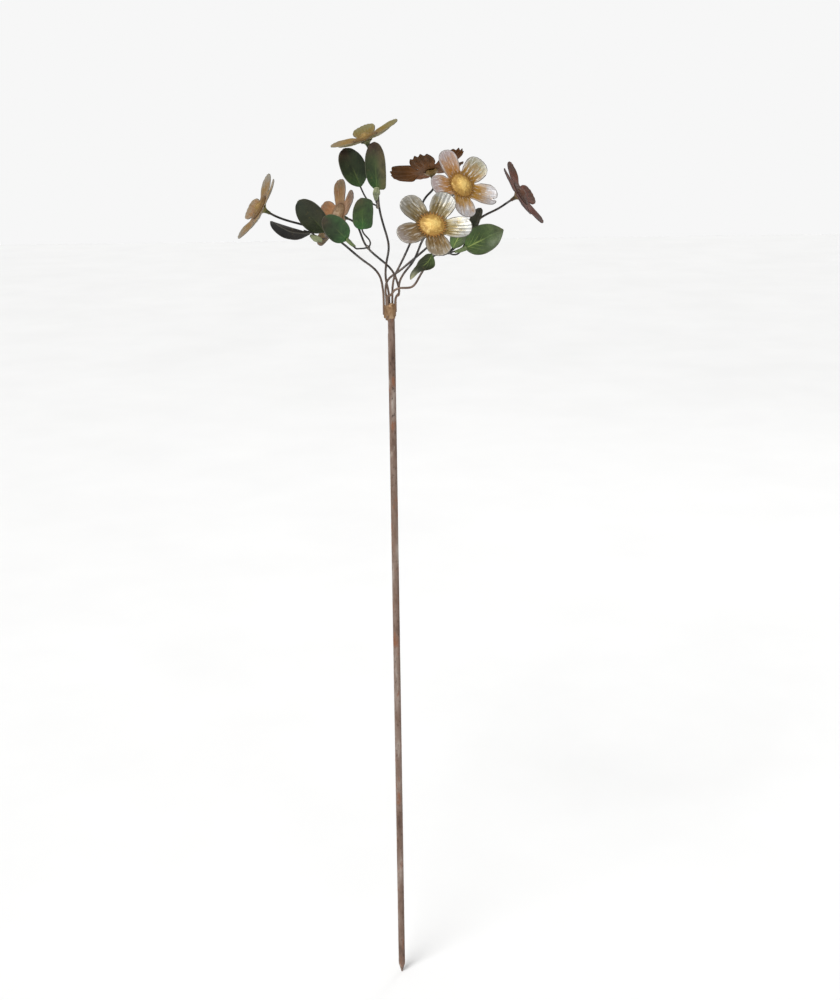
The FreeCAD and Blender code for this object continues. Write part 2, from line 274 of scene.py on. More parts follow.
def dark_wire():
    n = Nodes("dark_wire")
    patches = n.noise(130, 5)
    fine = n.noise(900, 4)
    colour = n.ramp(patches, [(0.30, srgb(38, 37, 36)), (0.50, srgb(60, 58, 56)), (0.70, srgb(98, 94, 90))])
    rust = n.span(n.noise(210, 4), 0.58, 0.70, 0, 0.6)
    colour = n.mix(rust, colour, srgb(88, 60, 42))
    # Heat from the brazing has browned the wires near the rod.
    height = n.add("ShaderNodeSeparateXYZ")
    n.link(n.place, height.inputs["Vector"])
    heated = n.span(n.sum(height.outputs["Z"], n.sum(patches, 0.04, "MULTIPLY"), "SUBTRACT"), 0.722, 0.676)
    colour = n.mix(n.sum(heated, 0.7, "MULTIPLY"), colour, srgb(138, 112, 94))
    normal = n.bump(patches, 0.0003, 0.5, n.bump(fine, 0.0001, 0.5))
    return n.end(colour, n.span(fine, 0.3, 0.7, 0.32, 0.55), normal, 0.6)


def bronze(name, tones, metallic=0.8):
    n = Nodes(name)
    flow = n.noise(150, 4, n.stretch(1, 1, 0.5), distortion=0.8)
    grain = n.noise(900, 4)
    colour = n.ramp(flow, [(0.32, tones[0]), (0.50, tones[1]), (0.66, tones[2])])
    colour = n.mix(n.span(grain, 0.60, 0.75, 0, 0.6), colour, tones[3])
    normal = n.bump(flow, 0.0006, 0.6, n.bump(grain, 0.00015, 0.5))
    return n.end(colour, n.span(grain, 0.3, 0.7, 0.34, 0.62), normal, metallic)


def gold_leafing():
    n = Nodes("gold_button")
    reach = n.attribute("reach")
    painted_fold_light = n.attribute("painted_fold_light")
    mottle = n.noise(330, 6, None, 0.65)
    grain = n.noise(1300, 3)
    # Darker towards the rim and over the fringe: painted shade round the disc's foot.
    colour = n.ramp(n.sum(reach, n.sum(mottle, 0.6, "MULTIPLY"), "ADD"),
                    [(0.30, srgb(224, 190, 112)), (0.80, srgb(206, 168, 90)), (1.1, srgb(164, 126, 58))])
    # The folds' hollows get painted shade and their ridges a painted highlight.
    colour = n.mix(n.span(painted_fold_light, 0.50, 0.05, 0, 0.5), colour, srgb(150, 106, 34))
    colour = n.mix(n.span(painted_fold_light, 0.70, 1.0, 0, 0.45), colour, srgb(240, 212, 132))
    colour = n.mix(n.span(n.noise(210, 4), 0.58, 0.72, 0, 0.5), colour, srgb(152, 112, 42))
    colour = n.mix(1.0, colour, n.attribute("tint", "Color"), "MULTIPLY")
    normal = n.bump(mottle, 0.0007, 0.5, n.bump(grain, 0.0001, 0.4))
    return n.end(colour, n.span(mottle, 0.3, 0.7, 0.48, 0.68), normal, 0.2)


def petal_metal(name, hub, middle, tip, rim, stain_and_groove_shade, painted_highlight, shine):
    """Heat-tinted sheet metal: colour runs from hub to tip; the grooves get painted shade and the crests a
    painted highlight.
    """
    n = Nodes(name)
    reach, rib, edge = n.attribute("reach"), n.attribute("rib"), n.attribute("edge")
    grain = n.vector(n.sum(reach, 3.0, "MULTIPLY"), n.sum(n.attribute("across"), 5.0, "MULTIPLY"),
                     n.attribute("petal"))
    streaks = n.noise(1.7, 6, grain, 0.62, 0.4)
    mottle = n.noise(110, 6, None, 0.62, 0.5)
    fine = n.noise(1100, 4)
    where = n.sum(reach, n.sum(n.sum(mottle, -0.5, "ADD"), 0.75, "MULTIPLY"), "ADD")
    where = n.sum(where, n.sum(n.sum(streaks, -0.5, "ADD"), 0.6, "MULTIPLY"), "ADD")
    colour = n.ramp(where, [(0.20, hub), (0.38, hub), (0.60, middle), (0.86, tip)])
    colour = n.mix(1.0, colour, n.attribute("tint", "Color"), "MULTIPLY")
    colour = n.mix(n.span(n.noise(170, 5, None, 0.65, 0.6), 0.56, 0.68, 0, 0.5), colour, stain_and_groove_shade)
    # Pale streaks along the grain are painted highlight, stronger on the shinier flowers.
    colour = n.mix(n.span(streaks, 0.54, 0.68, 0, 0.35 + 0.4 * shine), colour, painted_highlight)
    near = n.span(reach, 0.85, 0.40)
    near = n.sum(near, n.span(mottle, 0.36, 0.62, 0.15, 1.0), "MULTIPLY")
    # Near the hub, the rib grooves get painted shade and the rib crests a painted highlight.
    colour = n.mix(n.sum(n.span(rib, -0.2, -0.95, 0, 0.5), near, "MULTIPLY"), colour, stain_and_groove_shade)
    colour = n.mix(n.sum(n.span(rib, 0.4, 1.0, 0, 0.25 + 0.2 * shine), near, "MULTIPLY"), colour, painted_highlight)
    # Soot and painted shade darken the petals round the disc; a pale band inside the rim is painted
    # highlight, then the rim's cut edge is dark.
    colour = n.mix(n.span(n.sum(reach, n.sum(streaks, 0.22, "MULTIPLY"), "ADD"), 0.56, 0.44, 0, 0.75), colour,
                   blend(hub, srgb(72, 48, 18), 0.5))
    colour = n.mix(n.sum(n.span(edge, 0.84, 0.92, 0, 0.55), n.span(fine, 0.2, 0.8, 0.5, 1.0), "MULTIPLY"),
                   colour, blend(tip, painted_highlight, 0.45))
    colour = n.mix(n.span(edge, 0.955, 0.985, 0, 0.9), colour, rim)
    normal = n.bump(streaks, 0.0006, 0.35, n.bump(fine, 0.00012, 0.4, n.bump(mottle, 0.0010, 0.4)))
    roughness = n.span(mottle, 0.3, 0.7, 0.58 - 0.22 * shine, 0.76 - 0.22 * shine)
    made = n.end(colour, roughness, normal, n.span(fine, 0.3, 0.7, 0.06 + 0.34 * shine, 0.22 + 0.36 * shine))
    n.shader.inputs["Coat Weight"].default_value = 0.30 * shine
    n.shader.inputs["Coat Roughness"].default_value = 0.22
    n.shader.inputs["Specular IOR Level"].default_value = 0.18 + 0.32 * shine
    return made


def leaf_paint():
    """Green patina: the blade's colours, one side partly painted light and shade, mottled, with faint veins
    and a worn edge.
    """
    n = Nodes("green_leaf")
    along, across = n.attribute("along"), n.attribute("across")
    width = n.sum(across, 0.0, "ABSOLUTE")
    mottle = n.noise(95, 6, None, 0.6, 0.5)
    fine = n.noise(850, 4)
    tint = n.attribute("tint", "Color")
    colour = n.mix(1.0, tint, n.ramp(mottle, [(0.30, (0.62, 0.62, 0.62, 1)), (0.50, (1, 1, 1, 1)),
                                              (0.72, (1.45, 1.38, 1.28, 1))]), "MULTIPLY")
    # Side veins leave the midrib at a slant and fade towards the margin and the tip.
    wave = n.sum(n.sum(n.sum(along, 6.0, "MULTIPLY"), n.sum(width, 3.2, "MULTIPLY"), "SUBTRACT"),
                 n.sum(mottle, 0.5, "MULTIPLY"), "ADD")
    line = n.sum(n.sum(n.sum(wave, 1.0, "FLOORED_MODULO"), -0.5, "ADD"), 0.0, "ABSOLUTE")
    vein = n.sum(n.span(line, 0.10, 0.0), n.span(width, 0.8, 0.15, 0.0, 0.8), "MULTIPLY")
    veins = n.sum(n.sum(vein, n.span(width, 0.07, 0.02), "MAXIMUM"), n.attribute("vein"), "MULTIPLY")
    colour = n.mix(n.sum(veins, n.span(along, 0.58, 0.30, 0.06, 1.0), "MULTIPLY"), colour, srgb(158, 176, 98))
    colour = n.mix(n.span(n.noise(240, 5), 0.60, 0.74, 0, 0.45), colour, srgb(96, 84, 46))
    colour = n.mix(n.span(n.noise(170, 6, None, 0.7), 0.62, 0.74, 0, 0.5), colour, srgb(98, 116, 66))
    colour = n.mix(n.span(n.attribute("edge"), 0.93, 1.0, 0, 0.5), colour, srgb(92, 88, 74))
    relief = n.sum(veins, n.sum(mottle, 1.2, "MULTIPLY"), "SUBTRACT")
    normal = n.bump(relief, 0.0005, 0.5, n.bump(fine, 0.0001, 0.45))
    made = n.end(colour, n.span(fine, 0.3, 0.7, 0.38, 0.56), normal, 0.05)
    n.shader.inputs["Coat Weight"].default_value = 0.10
    n.shader.inputs["Coat Roughness"].default_value = 0.3
    n.shader.inputs["Specular IOR Level"].default_value = 0.25
    return made


def calyx_paint():
    n = Nodes("green_calyx")
    reach = n.attribute("reach")
    mottle = n.noise(320, 5)
    colour = n.ramp(n.sum(reach, n.sum(mottle, 0.5, "MULTIPLY"), "ADD"),
                    [(0.2, srgb(62, 60, 34)), (0.7, srgb(58, 70, 36)), (1.2, srgb(96, 98, 48))])
    colour = n.mix(n.span(n.noise(700, 4), 0.58, 0.70, 0, 0.6), colour, srgb(82, 62, 36))
    colour = n.mix(1.0, colour, n.attribute("tint", "Color"), "MULTIPLY")
    normal = n.bump(mottle, 0.0004, 0.5, n.bump(n.noise(1200, 3), 0.0001, 0.4))
    return n.end(colour, n.span(mottle, 0.3, 0.7, 0.35, 0.6), normal, 0.3)


# ---------------------------------------------------------------- flowers
# Petal: angle in the flower's own plane, tip radius (mm), curl of the tip and rise of
# the sides (mm, towards the front), colour laid over the sheet metal, and for a petal
# that is bent askew the rise of one side (mm).
PALE = (1.0, 1.0, 1.0, 1.0)
# This tint, well over 1, is a painted highlight that whitens a petal.
PAINTED_GLARE = (1.70, 1.85, 2.10, 1.0)
SILVER = (1.12, 1.18, 1.28, 1.0)
PINK = (1.14, 1.00, 1.02, 1.0)
OLIVE = (0.92, 0.94, 0.72, 1.0)
WARM = (1.12, 0.95, 0.74, 1.0)
DARK = (0.52, 0.60, 0.46, 1.0)
PETALS = {
    "one": [(46, 39.5, 0.4, 0.9, SILVER), (118, 39.3, 0.9, 0.8, PALE), (190, 39.3, -0.6, 1.0, WARM),
            (262, 39.3, 0.6, 0.6, PALE), (334, 39.5, 0.2, 1.0, SILVER)],
    "two": [(12, 39.4, 0.8, 1.2, OLIVE), (84, 39.2, -1.0, 1.0, OLIVE), (156, 39.5, 0.8, 0.8, OLIVE),
            (228, 39.4, -1.4, 1.2, PINK), (300, 39.2, 0.4, 1.4, OLIVE)],
    "three": [(34, 39.4, 0.6, 1.4, PALE), (106, 39.3, 1.0, 1.0, OLIVE), (178, 39.5, -0.8, 1.4, WARM),
              (250, 39.2, 0.8, 1.2, DARK), (322, 39.3, 0.4, 1.6, DARK)],
    "four": [(41, 44.2, -1.2, 0.8, PALE), (111, 44.0, 0.4, 1.0, WARM), (186, 44.3, -0.6, 0.8, PALE),
             (257, 44.2, 0.2, 0.6, WARM), (325, 44.0, 0.4, 0.8, PALE, 5.0)],
    "five": [(37, 40.4, 1.0, 1.8, OLIVE), (109, 40.3, 0.6, 1.6, PINK), (181, 40.4, -0.8, 1.4, PINK),
             (253, 40.4, 1.0, 1.8, SILVER), (328, 40.5, 2.0, 3.4, SILVER)],
    "six": [(60, 40.2, 0.4, 1.8, SILVER), (132, 40.2, 0.8, 1.6, PALE), (204, 40.2, -1.0, 2.0, PINK),
            (276, 40.1, -0.2, 2.0, WARM), (348, 40.4, 0.8, 1.6, PAINTED_GLARE)],
    "seven": [(64, 39.3, 0.4, 0.8, WARM), (136, 39.3, -0.8, 1.0, PALE), (208, 39.4, 0.4, 0.8, PALE),
              (280, 39.3, 0.2, 0.8, PALE), (352, 39.1, -0.8, 1.0, WARM)],
}
# Ribs on each petal and their height (mm), how far the sheet is set back (mm), colour
# laid over the disc and the disc's height (mm).
Form = namedtuple("Form", "ribs rib_height set_back disc_tint disc_height")
FORMS = {
    "one": Form(5, 0.22, 1.3, (0.34, 0.30, 0.26, 1), 2.2),
    "two": Form(6, 0.30, 0.5, (0.36, 0.34, 0.28, 1), 2.0),
    "three": Form(5, 0.32, 0.4, (0.46, 0.46, 0.92, 1), 1.4),
    "four": Form(4, 0.80, 0.5, (0.16, 0.12, 0.10, 1), 1.6),
    "five": Form(6, 0.20, 0.4, PALE, 3.6),
    "six": Form(6, 0.19, 0.6, PALE, 3.6),
    "seven": Form(5, 0.24, 1.5, (0.15, 0.09, 0.16, 1), 1.8),
}
SCALLOP = {"four": 0.7}               # depth of the scallops along a petal's tip (mm), 0.1 where not given
FRINGE = {"five": 2.4, "six": 4.0}    # length of the points round the disc (mm), 1 where not given
# Colour laid over the green of a cup.
CUP_TINT = {"seven": (1.5, 0.75, 0.9, 1), "four": (1.6, 0.9, 0.7, 1), "one": (1.8, 1.5, 1.4, 1)}
FINISH = {
    "one": petal_metal("petal_one", srgb(118, 84, 28), srgb(130, 98, 44), srgb(132, 124, 110),
                       srgb(98, 92, 82), srgb(104, 74, 34), srgb(168, 152, 120), 0.5),
    "two": petal_metal("petal_two", srgb(128, 100, 42), srgb(128, 108, 56), srgb(126, 118, 92),
                       srgb(92, 86, 66), srgb(102, 80, 38), srgb(160, 144, 96), 0.35),
    "three": petal_metal("petal_three", srgb(148, 112, 80), srgb(130, 98, 66), srgb(112, 94, 78),
                         srgb(88, 80, 74), srgb(128, 66, 28), srgb(196, 156, 128), 0.4),
    "four": petal_metal("petal_four", srgb(108, 68, 30), srgb(100, 64, 28), srgb(84, 56, 29),
                        srgb(50, 40, 32), srgb(62, 38, 18), srgb(140, 86, 34), 0.0),
    "five": petal_metal("petal_five", srgb(158, 112, 34), srgb(170, 138, 98), srgb(170, 164, 160),
                        srgb(116, 108, 102), srgb(140, 98, 56), srgb(246, 244, 242), 1.0),
    "six": petal_metal("petal_six", srgb(102, 80, 34), srgb(120, 106, 74), srgb(140, 136, 126),
                       srgb(90, 86, 76), srgb(90, 74, 46), srgb(210, 206, 196), 1.0),
    "seven": petal_metal("petal_seven", srgb(92, 50, 38), srgb(88, 54, 44), srgb(76, 62, 58),
                         srgb(52, 50, 52), srgb(60, 36, 32), srgb(150, 74, 36), 0.15),
}
GOLD = gold_leafing()
CALYX = calyx_paint()
BRASS = bronze("brass_bush",
               [srgb(132, 104, 52), srgb(176, 144, 78), srgb(204, 176, 106), srgb(110, 86, 48)], 0.3)
FACE_RADIUS = 130.0    # the rosette's front is a shallow dish
PETAL_REACH = 41.0     # hub to tip, for the run of the colours
HUB_HOLE, NOTCH, END = 2.75, 16.2, 11.6    # radius of the hole and of the notches, length of the tip
SIDE_CURVE = [(0.0, 9.6), (0.3, 11.0), (0.6, 12.1), (0.85, 12.5), (1.0, 12.3)]
COLUMNS, INNER_ROWS, OUTER_ROWS = 42, 4, 17


def dish(x, y):
    return FACE_RADIUS - math.sqrt(FACE_RADIUS ** 2 - x * x - y * y)


def rosette(number):
    """One stamped sheet with five fluted petals; neighbours share their edge as far out as the notch."""
    petals = PETALS[number]
    form = FORMS[number]
    seed = list(PETALS).index(number) + 1
    points, where, index = [], [], {}

    def vertex(k, row, column):
        shared = row <= INNER_ROWS
        if shared and column == COLUMNS:
            return vertex((k + 1) % 5, row, 0)
        key = (k, row, column)
        if key not in index:
            index[key] = len(points)
            points.append(spot(k, row, column))
        return index[key]

    def spot(k, row, column):
        angle, tip, curl, cup, tint, *askew = petals[k]
        before = (petals[k][0] - petals[k - 1][0]) % 360 / 2
        after = (petals[(k + 1) % 5][0] - petals[k][0]) % 360 / 2
        t = 2 * column / COLUMNS - 1
        half = math.radians(before if t < 0 else after)
        flute = math.cos(math.pi * form.ribs * (t + 1) - math.pi)
        if row <= INNER_ROWS:
            rho = HUB_HOLE + (NOTCH - HUB_HOLE) * row / INNER_ROWS
            x, y = rho * math.cos(t * half), rho * math.sin(t * half)
            q, out = 0.0, 0.0
        else:
            q = (row - INNER_ROWS) / OUTER_ROWS
            out = smooth(0.0, 0.45, q)
            side = tip - END
            end = side + END * (1 - abs(t) ** 2.1) ** 0.5
            end += SCALLOP.get(number, 0.10) * (flute - 1) * (1 - t * t)
            x0, y0 = NOTCH * math.cos(t * half), NOTCH * math.sin(t * half)
            x = x0 + (end - x0) * q
            b = smooth(0.0, 0.4, q)
            y = y0 * (1 - b) + t * through(SIDE_CURVE, q) * (1 + (tip - 40) / 60) * b
            y *= 1 + 0.02 * rough(q * 2, t, k, seed)
        z = dish(x, y)
        z += out * (cup * t * t * 0.8 - form.set_back + curl * q ** 2.3 + sum(askew) * t)
        z += out * form.rib_height * flute * (1 - 0.35 * t * t) * (1 if number == "four" else 1.5 - q)
        z += out * 0.8 * rough(x / 13, y / 13, k, seed)
        if number == "five" and k == 4:
            # The right-hand petal is creased down its middle and its tip is split.
            z -= out * 2.6 * math.exp(-(t / 0.22) ** 2) * q
            x -= 4.5 * math.exp(-(t / 0.10) ** 2) * q ** 6
        a = math.radians(angle)
        rim = max(abs(t), 1 - 1.7 * (1 - q)) if row > INNER_ROWS else 0.0
        rho = math.hypot(x, y)
        where.append((rho / PETAL_REACH, flute * out, rim, t, k * 3.7 + seed, tint))
        return (x * math.cos(a) - y * math.sin(a), x * math.sin(a) + y * math.cos(a), z)

    faces = []
    for k in range(5):
        for row in range(INNER_ROWS + OUTER_ROWS):
            for column in range(COLUMNS):
                faces.append((vertex(k, row, column), vertex(k, row + 1, column),
                              vertex(k, row + 1, column + 1), vertex(k, row, column + 1)))
    obj = mesh_piece("petals_" + number, points, faces)
    for slot, name in enumerate(("reach", "rib", "edge", "across", "petal")):
        floats(obj, name, [w[slot] for w in where])
    colours(obj, "tint", [w[5] for w in where])
    thicken(obj, PETAL_SHEET)
    return obj


def gold_disc(number, seed):
    """Crumpled metal disc over the end of the pin, with a ragged fringe pressed onto the petals."""
    tint, height = FORMS[number].disc_tint, FORMS[number].disc_height
    rings, spokes = 24, 96
    points, reach, painted_fold_light = [(0.0, 0.0, 5.75)], [0.0], [0.6]
    for ring in range(1, rings + 1):
        for spoke in range(spokes):
            a = 2 * math.pi * spoke / spokes
            s = ring / rings
            corner = math.cos(4 * (a + 0.3 * seed)) * 0.35
            corner += 0.8 * rough(3.2 * math.cos(a), 3.2 * math.sin(a), seed)
            rho = s * (12.4 + 1.0 * corner * s)
            x, y = rho * math.cos(a), rho * math.sin(a)
            fold = 1 - abs(rough(x / 4.2, y / 4.2, 3.1 * seed)) * 2.6
            small = 1 - abs(rough(x / 1.9, y / 1.9, 7.7 * seed)) * 2.2
            z = 1.2 + height * (1 - s ** 2.6) + (4.55 - height) * smooth(5.2, 2.4, rho)
            z += (fold * 0.50 + small * 0.34 - 0.45) * smooth(2.4, 5.0, rho) * (1 - 0.35 * s)
            points.append((x, y, max(z, 1.15)))
            reach.append(s)
            # How high the foil stands in its folds, used for painted shade and highlight.
            painted_fold_light.append(min(1.0, max(0.0, 0.35 + 0.4 * fold + 0.25 * small)))
    faces = [(0, 1 + k, 1 + (k + 1) % spokes) for k in range(spokes)]
    for ring in range(rings - 1):
        low, high = 1 + ring * spokes, 1 + (ring + 1) * spokes
        for k in range(spokes):
            m = (k + 1) % spokes
            faces.append((low + k, high + k, high + m, low + m))
    start, teeth = len(points), 168
    for ring in range(4):
        for k in range(teeth):
            a = 2 * math.pi * k / teeth
            tooth = 0.5 + 0.5 * math.cos(28 * a + 2.5 * rough(math.cos(a) * 2, math.sin(a) * 2, seed))
            ragged = 0.75 + 0.5 * rough(4 * math.cos(a), 4 * math.sin(a), 2.0 * seed)
            length = FRINGE.get(number, 1.0) * tooth * ragged
            rho = 11.6 + ring / 3 * (1.2 + max(0.0, length))
            x, y = rho * math.cos(a), rho * math.sin(a)
            points.append((x, y, dish(x, y) + 0.75 - 0.12 * ring))
            reach.append(1.0 + 0.2 * ring)
            # The fringe's low values darken it further: painted shade.
            painted_fold_light.append(0.05 + 0.25 * tooth * (ring == 3))
    for ring in range(3):
        for k in range(teeth):
            a, b = start + ring * teeth + k, start + ring * teeth + (k + 1) % teeth
            faces.append((a, a + teeth, b + teeth, b))
    obj = mesh_piece("gold_disc_" + number, points, faces)
    floats(obj, "reach", reach)
    floats(obj, "painted_fold_light", painted_fold_light)
    # The fringe is painted darker, as painted shade where it meets the petals.
    fringe_shade = (0.72, 0.62, 0.5)
    colours(obj, "tint", [tint if r <= 1 else (tint[0] * fringe_shade[0], tint[1] * fringe_shade[1], tint[2] * fringe_shade[2], 1)
                          for r in reach])
    thicken(obj, DISC_SHEET)
    return obj


def calyx_cup(number, seed):
    """Five pointed sepals rising from the wire to just behind the petals."""
    rings, spokes = 12, 60
    profile = [(0.0, 1.7), (0.35, 2.1), (0.6, 3.1), (0.8, 5.2), (0.92, 7.0), (1.0, 8.0)]
    points, reach = [], []
    for ring in range(rings + 1):
        s = ring / rings
        for spoke in range(spokes):
            a = 2 * math.pi * spoke / spokes
            lobe = 0.5 + 0.5 * math.cos(5 * a + seed)
            top = -2.6 + 1.2 * lobe ** 0.7
            z = -11.9 + (top + 11.9) * s
            rho = through(profile, s) * (1 - 0.10 * (1 - lobe) * s) + 0.12 * rough(a, s * 3, seed)
            points.append((rho * math.cos(a), rho * math.sin(a), z))
            reach.append(s)
    # The sheet turns inward at the top and closes on the wire, a little below the sepals.
    for rho, z in ((5.8, -3.3), (2.4, -3.8)):
        points += [(rho * math.cos(2 * math.pi * k / spokes), rho * math.sin(2 * math.pi * k / spokes), z)
                   for k in range(spokes)]
        reach += [1.0] * spokes
    faces = []
    for ring in range(rings + 2):
        low, high = ring * spokes, (ring + 1) * spokes
        for k in range(spokes):
            m = (k + 1) % spokes
            faces.append((low + k, low + m, high + m, high + k))
    obj = mesh_piece("sepals_" + number, points, faces)
    obj.data.set_sharp_from_angle(angle=math.radians(45))
    floats(obj, "reach", reach)
    colours(obj, "tint", [CUP_TINT.get(number, PALE)] * len(points))
    thicken(obj, CUP_SHEET)
    return obj


for seed, joint in enumerate(frame["joints"], start=1):
    number = joint["child"].removeprefix("flower_")
    out = Vector(joint["axis"]).normalized()
    azimuth = math.atan2(out.x, -out.y)
    right = Vector((math.cos(azimuth), math.sin(azimuth), 0))
    place = axes(Vector(joint["pos_m"]), right, out.cross(right), out)

    petals = rosette(number)
    disc = gold_disc(number, seed)
    cup = calyx_cup(number, seed)
    for obj in (petals, disc, cup):
        obj.data.transform(place)
    dress(petals, FINISH[number])
    dress(disc, GOLD)
    dress(cup, CALYX)
    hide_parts("rosette_" + number)
    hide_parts("button_" + number)
    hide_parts("calyx_" + number)
    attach(petals, joint["child"])
    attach(disc, joint["child"])
    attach(cup, joint["parent"])
    dress(frame["nodes"]["hub_bush_" + number], BRASS)

# ---------------------------------------------------------------- leaves
# Leaf: base, tip (mm), side the hollow faces, width, radius of the hollow, bend along
# the blade and waviness (mm), strength of the veins, colours at base, middle and tip,
# and the colour of the right-hand side, partly the blade's tone and partly painted light
# and shade. Base to hollow radius are as in the CAD, except that a few blades are a
# little wider here.
LEAVES = {
    "upper_left": ((-30, 10, 816), (-47, 16, 856), (0.2, -1, 0.2), 27, 30, 0.8, 0.5, 0.15,
                   (54, 78, 42), (38, 46, 27), (48, 36, 26), (44, 58, 34)),
    "upper_right": ((-13, -2, 813), (-15, -5, 863), (0, -1, 0), 21, 16, 1.0, 0.4, 0.12,
                    (46, 78, 34), (48, 60, 32), (74, 56, 44), (94, 80, 56)),
    "middle": ((-29, 0, 772), (-29, -24, 807), (0.3, -1, -0.4), 22, 20, 0.6, 0.5, 0.15,
               (42, 96, 38), (60, 84, 36), (66, 66, 42), (44, 66, 34)),
    "left_high": ((-69, 0, 770), (-96, -8, 804), (-0.2, -1, 0.3), 26, 26, 0.8, 0.5, 0.06,
                  (46, 54, 32), (46, 50, 32), (38, 44, 33), (50, 50, 35)),
    "left_inner": ((-45, -6, 762), (-69, -24, 788), (0, -1, 0.2), 24, 20, 0.6, 0.5, 0.12,
                   (50, 90, 44), (46, 62, 38), (62, 54, 42), (50, 82, 42)),
    "left_low": ((-84, -9, 769), (-126, -16, 783), (0, -0.5, -1), 19.6, 10, 0.5, 0.3, 0.03,
                 (42, 38, 34), (34, 31, 28), (30, 30, 28), (36, 33, 30)),
    "right_broad": ((80, 0, 751), (121, -8, 771), (0.1, -1, 0.35), 30, 30, 1.0, 0.6, 0.85,
                    (80, 108, 52), (62, 80, 44), (74, 84, 54), (60, 74, 44)),
    "right_upright": ((88, 12, 766), (98, 6, 793), (-0.8, -0.7, 0.2), 15, 12, 0.4, 0.2, 0.1,
                      (60, 72, 46), (56, 58, 44), (60, 58, 48), (70, 68, 54)),
    "right_inner": ((67, 2, 751), (83, 9, 779), (0.2, -1, 0.3), 18, 20, 0.5, 0.4, 1.0,
                    (88, 112, 64), (66, 88, 52), (60, 70, 46), (94, 106, 74)),
    "right_curled": ((45, -5, 746), (21, -20, 721), (0.5, -0.8, 0.4), 15, 9, 0.5, 0.2, 0.5,
                     (72, 92, 46), (44, 50, 32), (140, 140, 112), (60, 66, 44)),
}
LEAF_GREEN = leaf_paint()
OUTLINE = [(0.0, 0.10), (0.05, 0.36), (0.16, 0.72), (0.34, 0.96), (0.54, 1.0), (0.74, 0.88), (0.90, 0.60),
           (0.97, 0.34), (1.0, 0.05)]
POINTED = [(0.0, 0.10), (0.06, 0.40), (0.18, 0.76), (0.38, 0.99), (0.58, 0.97), (0.78, 0.74), (0.92, 0.36),
           (1.0, 0.03)]
SQUARE = [(0.0, 0.66), (0.04, 0.86), (0.2, 0.96), (0.5, 1.0), (0.74, 0.90), (0.90, 0.62), (0.97, 0.36),
          (1.0, 0.05)]
STRAIGHT = [(0.0, 0.40), (0.06, 0.78), (0.3, 0.96), (0.8, 1.0), (0.93, 0.84), (1.0, 0.08)]
# Leaves whose two sides differ: outline of the left-hand side, of the right-hand side.
SIDES = {"upper_right": (OUTLINE, SQUARE), "middle": (OUTLINE, STRAIGHT), "right_broad": (POINTED, POINTED)}
# The curled leaf is broad near its stalk and runs out in a narrow, twisted tail.
TAILED = [(0.0, 0.12), (0.10, 0.62), (0.26, 1.0), (0.44, 0.92), (0.58, 0.52), (0.72, 0.40), (0.88, 0.34),
          (1.0, 0.06)]


def leaf(name, seed):
    base, tip, face, width, hollow, bend, wave, vein, near, middle, far, side = LEAVES[name]
    curled = name == "right_curled"
    along = Vector(tip) - Vector(base)
    length = along.length
    along.normalize()
    normal = Vector(face) - along * along.dot(Vector(face))
    normal.normalize()
    reach = math.asin(min(0.98, width / 2 / hollow))
    rows, columns = 44, 26
    points, data, tints = [], [], []
    for row in range(rows + 1):
        s = 0.5 - 0.5 * math.cos(math.pi * row / rows)
        for column in range(columns + 1):
            t = 2 * column / columns - 1
            # Points spread along the hollow's arc, so a folded blade keeps its full width.
            outline = TAILED if curled else SIDES.get(name, (OUTLINE, OUTLINE))[t < 0]
            swing = reach * t * through(outline, s) * (1 + 0.03 * rough(s * 4, t, seed))
            x = 0.4 + (length - 0.8) * s
            y = hollow * math.sin(swing)
            z = hollow - hollow * math.cos(swing)
            z -= 0.35 * math.exp(-(y / 1.3) ** 2) * (1 - s)
            z += bend * math.sin(math.pi * s) + wave * rough(s * 5, t * 1.6, seed) * abs(t)
            if curled:
                turn = 1.1 * s * s
                y, z = (y * math.cos(turn) - z * math.sin(turn) * 0.4 + 1.6 * math.sin(2 * math.pi * s),
                        z * math.cos(turn) + y * math.sin(turn) + 1.2 * math.sin(math.pi * s * 1.5))
            points.append((x, y, z))
            data.append((s, t, max(abs(t), 1 - 2.2 * (1 - s))))
            tone = blend(near, middle, smooth(0.0, 0.55, s))
            tone = blend(tone, far, smooth(0.55, 1.0, s))
            # The right-hand side's colour is partly the blade's tone and partly painted light and shade.
            tone = blend(tone, side, 0.7 * smooth(0.1, -0.6, t))
            tints.append(srgb(*tone))
    faces = []
    wide = columns + 1
    for row in range(rows):
        for column in range(columns):
            k = row * wide + column
            faces.append((k, k + wide, k + wide + 1, k + 1))
    obj = mesh_piece("blade_" + name, points, faces)
    for slot, key in enumerate(("along", "across", "edge")):
        floats(obj, key, [d[slot] for d in data])
    floats(obj, "vein", [vein] * len(points))
    colours(obj, "tint", tints)
    thicken(obj, LEAF_SHEET)
    obj.data.transform(axes(Vector(base) * MM, along, normal.cross(along), normal))
    dress(obj, LEAF_GREEN)
    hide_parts("leaf_" + name)
    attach(obj, "stand")
    return obj


